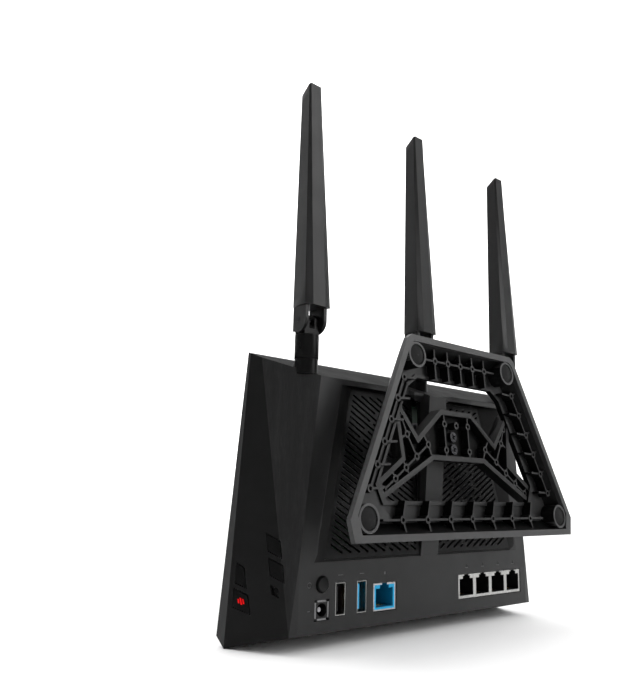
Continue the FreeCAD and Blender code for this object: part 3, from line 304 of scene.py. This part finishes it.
def rubber(name, level):
    """Dull rubber with a little dust on it."""
    s = Shader(name)
    dust = s.noise(500.0, 5.0, 0.7)
    s.colour(s.ramp(dust, [(0.35, grey(level * 0.7)), (0.72, grey(level * 1.6))]))
    s.roughness(s.span(dust, 0.62, 0.8))
    s.bump(s.noise(1600.0, 3.0), 0.00004, 0.6)
    s.surface.inputs["Specular IOR Level"].default_value = 0.11
    return s.material


def tinted(name, colour, rough):
    """Coloured moulded plastic."""
    s = Shader(name)
    dark = tuple(c * 0.72 for c in colour)
    s.colour(s.ramp(s.noise(90.0, 4.0), [(0.3, dark), (0.7, colour)]))
    s.roughness(s.span(s.noise(400.0, 3.0), rough - 0.05, rough + 0.08))
    s.bump(s.noise(2500.0, 2.0), 0.00002, 0.5)
    return s.material


def board(name):
    """Green solder mask with faint copper tracks under it."""
    s = Shader(name)
    tracks = s.cells(260.0)
    s.colour(s.ramp(tracks, [(0.05, (0.02, 0.09, 0.03)), (0.12, (0.008, 0.045, 0.018))]))
    s.roughness(s.span(s.noise(500.0), 0.3, 0.42))
    s.bump(tracks, 0.00003, 0.5)
    return s.material


def lit(name, colour, strength):
    """Translucent plastic with a lamp behind it."""
    s = Shader(name)
    soft = s.noise(160.0, 2.0)
    dim = tuple(c * 0.6 for c in colour)
    shade = s.ramp(soft, [(0.3, dim), (0.7, colour)])
    s.colour(shade)
    s.link(shade, s.surface.inputs["Emission Color"])
    s.set(Emission_Strength=strength)
    s.roughness(s.span(soft, 0.3, 0.45))
    s.surface.inputs["Specular IOR Level"].default_value = 0.05
    return s.material


# ---------------------------------------------------------------- CAD nodes
MATERIALS = {}


def dress(node, *names):
    """Give a CAD node its materials, first one everywhere."""
    data = NODES[node].data
    data.materials.clear()
    for name in names:
        data.materials.append(MATERIALS[name])
    for polygon in data.polygons:
        polygon.material_index = 0


def soften(node, width):
    """Small moulded radius on every sharp edge of a CAD node."""
    piece = NODES[node]
    weld = piece.modifiers.new("weld", "WELD")
    weld.merge_threshold = 0.002 * MM
    bevel = piece.modifiers.new("edge radius", "BEVEL")
    bevel.width = width
    bevel.segments = 2
    bevel.limit_method = "ANGLE"
    bevel.angle_limit = math.radians(35.0)
    bevel.use_clamp_overlap = True
    bevel.harden_normals = False


def use_where(node, name, test):
    """Use one of the node's materials on the faces whose centre and normal pass the test."""
    data = NODES[node].data
    index = data.materials.find(MATERIALS[name].name)
    for polygon in data.polygons:
        if test(polygon.center, polygon.normal):
            polygon.material_index = index


def make_materials():
    m = MATERIALS
    m["shell"] = moulded("shell plastic", 0.0085, 0.42, specular=0.21)
    # Roof: a darker, duller copy of the shell plastic for every upward face; painted shade.
    m["roof"] = moulded("roof painted shade", 0.0060, 0.62, specular=0.03)
    # End facet: a darker copy of the shell plastic for the sideways faces; painted shade.
    m["end"] = moulded("end facet painted shade", 0.0030, 0.36, 3200.0, 0.00002, 0.08)
    m["brushed"] = brushed("brushed plastic", 0.0060, 0.38, 0.16)
    # Recess: a near-black copy of the shell plastic, painted shade where shade falls in the grille
    # recess, the stand neck and the reset hole.
    m["recess"] = moulded("recess painted shade", 0.0022, 0.5, specular=0.10)
    m["front"] = moulded("front cover plastic", 0.006, 0.36, specular=0.25)
    m["grille"] = moulded("grille plastic", 0.0036, 0.42, specular=0.10)
    # Stand: a near-black copy of the web plastic for the plate's walls, cell floors and hidden faces;
    # painted shade.
    m["stand"] = moulded("stand painted shade", 0.0016, 0.45, specular=0.05)
    m["web"] = moulded("stand web plastic", 0.0075, 0.42, specular=0.18)
    m["rim"] = moulded("stand rim plastic", 0.019, 0.42, 3000.0, specular=0.28)
    m["antenna"] = moulded("antenna plastic", 0.0040, 0.32, 3400.0, 0.00002, 0.14)
    m["collar"] = moulded("collar plastic", 0.0016, 0.28, 3600.0, 0.00001, 0.06)
    m["key"] = moulded("key plastic", 0.0018, 0.24, 3600.0, 0.00001, 0.05)
    m["button"] = moulded("button plastic", 0.0020, 0.26, 3600.0, 0.00001, 0.10)
    m["socket"] = moulded("socket plastic", 0.0035, 0.45, specular=0.15)
    m["paint"] = moulded("mark paint", 0.085, 0.5, specular=0.2)
    m["rubber"] = rubber("pad rubber", 0.0045)
    m["plated"] = metal("plated steel", (0.36, 0.36, 0.35), 0.28)
    m["screw"] = metal("screw steel", (0.32, 0.32, 0.33), 0.34)
    m["oxide"] = metal("blackened steel", (0.030, 0.030, 0.032), 0.36)
    m["gold"] = metal("contact gold", (0.85, 0.60, 0.24), 0.24)
    m["copper"] = metal("radiator copper", (0.80, 0.42, 0.25), 0.32)
    m["sink"] = metal("sink aluminium", (0.16, 0.16, 0.165), 0.42)
    m["blue"] = tinted("socket blue plastic", (0.0, 0.33, 0.62), 0.34)
    # A darker copy of the socket blue for the insert inside the WAN socket; painted shade.
    m["shaded blue"] = tinted("socket blue painted shade", (0.0, 0.14, 0.28), 0.36)
    m["wan front"] = framed("blue socket front", housing(*WAN_MIDDLE), WAN_PLASTIC, True)
    # The inlet front's lighter edge is a painted highlight.
    m["inlet"] = framed("inlet plastic and painted highlight", housing(*INLET_MIDDLE), INLET_PLASTIC, False)
    m["board"] = board("board laminate")
    m["chip"] = moulded("chip resin", 0.012, 0.55)
    m["clear"] = tinted("light guide plastic", (0.5, 0.5, 0.5), 0.2)
    m["red"] = lit("red lamp", (0.62, 0.002, 0.003), 0.45)


PLAIN = {
    "front_cover": "front",
    "indicator_lights": "clear",
    "grille_left": "grille",
    "grille_right": "grille",
    "stand_pads": "rubber",
    # The stand neck and the reset pin take the recess copy: painted shade.
    "stand_neck": "recess",
    "neck_screws": "oxide",
    "lan_can": "plated",
    "lan_insert": "socket",
    "lan_contacts": "gold",
    "wan_can": "wan front",
    # The WAN insert takes the darker blue copy: painted shade.
    "wan_insert": "shaded blue",
    "wan_contacts": "gold",
    "usb_black_shell": "plated",
    "usb_black_tongue": "socket",
    "usb_blue_shell": "plated",
    "usb_blue_tongue": "blue",
    "usb_contacts": "gold",
    "dc_inlet": "inlet",
    "dc_pin": "screw",
    "power_button": "button",
    "power_switch": "plated",
    "reset_pin": "recess",
    "key_board": "board",
    "key_switches": "plated",
    "main_board": "board",
    "board_screws": "screw",
    "heat_sink": "sink",
    "shield_cans": "sink",
    "board_parts": "chip",
}

ROUNDED = {
    "front_cover": 0.0005,
    "stand_neck": 0.0006,
    "power_button": 0.0002,
    "dc_inlet": 0.0002,
    "wan_can": 0.00012,
    "lan_can": 0.00012,
    "usb_black_shell": 0.00010,
    "usb_blue_shell": 0.00010,
    "usb_black_tongue": 0.00015,
    "usb_blue_tongue": 0.00015,
    "wan_insert": 0.0001,
    "lan_insert": 0.0001,
}


def dress_plain_nodes():
    """Nodes with one material, and the ones with a small moulded radius."""
    for node, name in PLAIN.items():
        dress(node, name)
    for node, width in ROUNDED.items():
        soften(node, width)


def between(value, limits):
    return limits[0] < value < limits[1]


def dress_rear_cover():
    """Port face, hairline slopes, long end facets, dark recess, marks and roof; the end facets, the
    recess and the roof are darker copies of the shell, painted shade.
    """
    dress("rear_cover", "shell", "brushed", "end", "recess", "paint", "roof")

    def place(centre):
        return (centre - HOUSING_SHIFT) / MM

    def on_roof(centre, normal):
        return normal.z > 0.8

    def on_mark(centre, normal):
        at = place(centre)
        return between(at.y, MARK_Y) and between(at.z, MARK_Z) and normal.y > 0.9

    def on_slope(centre, normal):
        slanted = 0.2 < abs(normal.x) < 0.75 and normal.y > 0.5 and normal.z < 0.2
        return slanted and abs(place(centre).x) > SLOPE_FROM_X

    def on_end(centre, normal):
        return abs(normal.x) > 0.75 and abs(place(centre).x) > END_FROM_X

    def in_recess(centre, normal):
        at = place(centre)
        return between(at.y, RECESS_Y) and between(at.z, RECESS_Z) and between(abs(at.x), RECESS_X)

    # Upward faces take the roof copy, which is painted shade.
    use_where("rear_cover", "roof", on_roof)
    use_where("rear_cover", "paint", on_mark)
    use_where("rear_cover", "brushed", on_slope)
    # Sideways end facets take the end copy, which is painted shade.
    use_where("rear_cover", "end", on_end)
    # The grille recess takes the recess copy: painted shade.
    use_where("rear_cover", "recess", in_recess)
    soften("rear_cover", 0.00045)


def dress_stand():
    """Bright flat rim, mid-grey outward faces on the web, and dark walls and floors; the dark walls
    and floors are painted shade.
    """
    dress("stand_plate", "stand", "rim", "web")
    out = Vector((0.0, math.cos(PLATE_TILT), math.sin(PLATE_TILT)))

    def on_rim(centre, normal):
        faces_out = normal.dot(out) > 0.9
        edge = abs(normal.dot(out)) < 0.2
        return centre.dot(out) > -RIM_DEPTH and (faces_out or edge)

    def on_web(centre, normal):
        return centre.dot(out) > -WEB_DEPTH and normal.dot(out) > 0.9

    use_where("stand_plate", "web", on_web)
    use_where("stand_plate", "rim", on_rim)
    soften("stand_plate", 0.0003)


def dress_antennas():
    """The same looks on all three antennas."""
    for side in ("left", "middle", "right"):
        dress("paddle_" + side, "antenna")
        dress("collar_" + side, "collar")
        dress("bush_" + side, "collar")
        dress("hinge_pin_" + side, "oxide")
        dress("radiator_" + side, "copper")
        soften("paddle_" + side, 0.0004)
        soften("collar_" + side, 0.0003)


def dress_keys():
    """Glossy dark keys on the end facet."""
    for node in ("key_upper_rear", "key_lower_rear", "key_upper_front", "key_lower_front"):
        dress(node, "key")
        soften(node, 0.00015)


# ---------------------------------------------------------------- red lamp
def end_facet():
    """Axes on the long end facet: towards the back, up, and out of it."""
    toe = housing(*END_TOE)
    out = (housing(*END_TOP) - toe).cross(housing(*END_HEEL) - toe).normalized()
    if out.x < 0:
        out = -out
    back = Vector((0.0, 0.0, 1.0)).cross(out).normalized()
    return back, out.cross(back), out


def face_centre(node, out):
    """Middle of a node's outermost face along a direction."""
    points = [v.co for v in NODES[node].data.vertices]
    reach = max(p.dot(out) for p in points)
    skin = [p for p in points if p.dot(out) > reach - 0.00005]
    return sum(skin, Vector()) / len(skin)


def make_lamp():
    """Lit inlay of three slanted bars on the lower front key."""
    back, up, out = end_facet()
    centre = face_centre("key_lower_front", out)
    mesh = bmesh.new()
    for shift, tall in LAMP_BARS:
        ring = []
        for u, v in ((-0.5, -0.5), (0.5, -0.5), (0.5, 0.5), (-0.5, 0.5)):
            along = (shift + u * LAMP_BAR_WIDTH - v * tall * LAMP_SLANT) * MM
            high = v * tall * MM
            ring.append(centre + back * along + up * high - out * LAMP_SUNK)
        low = [mesh.verts.new(p) for p in ring]
        top = [mesh.verts.new(p + out * LAMP_THICK) for p in ring]
        mesh.faces.new(reversed(low))
        mesh.faces.new(top)
        for k in range(4):
            n = (k + 1) % 4
            mesh.faces.new((low[k], low[n], top[n], top[k]))
    bmesh.ops.recalc_face_normals(mesh, faces=mesh.faces)
    data = bpy.data.meshes.new("lamp inlay")
    mesh.to_mesh(data)
    mesh.free()
    lamp = bpy.data.objects.new("lamp_inlay", data)
    bpy.context.scene.collection.objects.link(lamp)
    data.materials.append(MATERIALS["red"])
    bevel = lamp.modifiers.new("edge radius", "BEVEL")
    bevel.width = 0.00008
    bevel.segments = 2
    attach(lamp, "key_lower_front")


# ---------------------------------------------------------------- stage and light
def make_stage():
    """Pale floor that sweeps up all round, so no horizon shows."""
    low = cad_low.z
    profile = [(FLOOR_RADIUS, low)]
    for i in range(1, BEND_STEPS + 1):
        a = math.radians(90.0 * i / BEND_STEPS)
        reach = FLOOR_RADIUS + FLOOR_BEND * math.sin(a)
        profile.append((reach, low + FLOOR_BEND * (1 - math.cos(a))))
    profile.append((FLOOR_RADIUS + FLOOR_BEND, low + FLOOR_BEND + FLOOR_WALL))
    mesh = bmesh.new()
    rings = []
    for r, z in profile:
        ring = []
        for k in range(FLOOR_STEPS):
            a = math.tau * k / FLOOR_STEPS
            ring.append(mesh.verts.new((r * math.cos(a), r * math.sin(a), z)))
        rings.append(ring)
    mesh.faces.new(rings[0])
    for inner, outer in zip(rings[:-1], rings[1:]):
        for k in range(FLOOR_STEPS):
            n = (k + 1) % FLOOR_STEPS
            mesh.faces.new((inner[k], outer[k], outer[n], inner[n]))
    data = bpy.data.meshes.new("stage floor")
    mesh.to_mesh(data)
    mesh.free()
    for polygon in data.polygons:
        polygon.use_smooth = True
    floor = bpy.data.objects.new("stage_floor", data)
    bpy.context.scene.collection.objects.link(floor)
    s = Shader("stage paper")
    soft = s.noise(3.0, 2.0)
    s.colour(s.ramp(soft, [(0.3, (0.86, 0.86, 0.86)), (0.7, (0.88, 0.88, 0.88))]))
    s.set(Roughness=0.9)
    s.surface.inputs["Specular IOR Level"].default_value = 0.1
    data.materials.append(s.material)


def soft_box(name, at, target, width, height, power):
    """A rectangular studio light aimed at a point."""
    data = bpy.data.lights.new(name, "AREA")
    data.shape = "RECTANGLE"
    data.size = width
    data.size_y = height
    data.energy = power
    lamp = bpy.data.objects.new(name, data)
    lamp.location = at
    aim = Vector(target) - Vector(at)
    lamp.rotation_mode = "QUATERNION"
    lamp.rotation_quaternion = aim.to_track_quat("-Z", "Y")
    bpy.context.scene.collection.objects.link(lamp)


def make_light():
    """White surroundings, a tall box for the antennas, a top box and a lit back wall."""
    world = bpy.data.worlds.new("studio")
    world.use_nodes = True
    world.node_tree.nodes["Background"].inputs["Color"].default_value = (1.0, 1.0, 1.0, 1.0)
    world.node_tree.nodes["Background"].inputs["Strength"].default_value = 1.0
    bpy.context.scene.world = world
    centre = (0.0, -0.03, 0.12)
    soft_box("key box", (-0.50, 0.758, 0.54), (0.08, -0.04, 0.18), 0.35, 0.90, 8.0)
    soft_box("top box", (0.1, -0.5, 1.3), centre, 0.9, 0.9, 10.0)
    soft_box("back wall wash", (-1.2, -1.3, 1.9), (-2.4, -2.6, 0.9), 1.2, 0.6, 60.0)
    bpy.context.scene.view_settings.view_transform = "Standard"


make_camera()
make_materials()
dress_plain_nodes()
dress_rear_cover()
dress_stand()
dress_antennas()
dress_keys()
make_lamp()
make_stage()
make_light()
